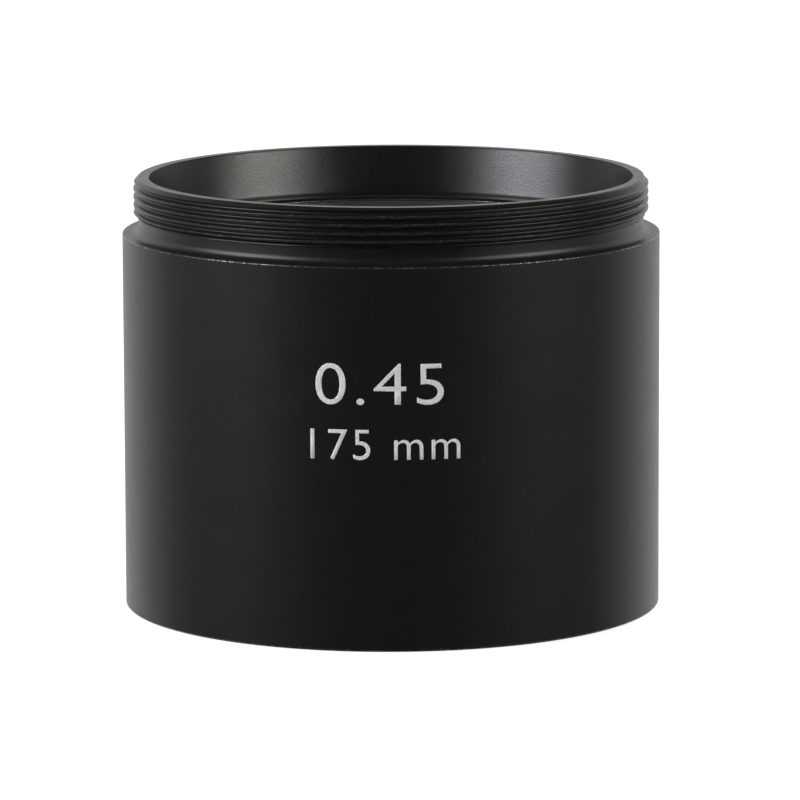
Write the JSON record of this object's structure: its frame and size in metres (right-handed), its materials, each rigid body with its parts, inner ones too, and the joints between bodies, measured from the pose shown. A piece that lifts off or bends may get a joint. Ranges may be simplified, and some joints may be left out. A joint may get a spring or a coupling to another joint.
{
  "type": "auxiliary objective lens",
  "caption": "Microscope auxiliary objective: a black anodised barrel with a male fine thread at the top, holding cemented lens groups clamped by threaded rings.",
  "frame": {"origin": "centre of the barrel's base plane", "axes": "+Z along the optical axis, from the specimen end to the threaded end that screws into the microscope; +Y away from the printed marking, which faces -Y"},
  "size_m": [0.05, 0.05, 0.0402],
  "materials": {
    "anodised_body": "fine satin black anodise",
    "anodised_ring": "matte black anodise",
    "matte_spacer": "dead matte black anodise",
    "coated_glass": "polished, with an anti-reflection coating on the outer face",
    "flint_glass": "polished"
  },
  "bodies": {
    "root": {"housing": "anodised_body", "rear_retaining_ring": "anodised_ring", "rear_crown_lens": "coated_glass", "rear_flint_lens": "flint_glass", "spacer_tube": "matte_spacer", "front_crown_lens": "flint_glass", "front_flint_lens": "coated_glass", "front_retaining_ring": "anodised_ring"}
  },
  "joints": []
}
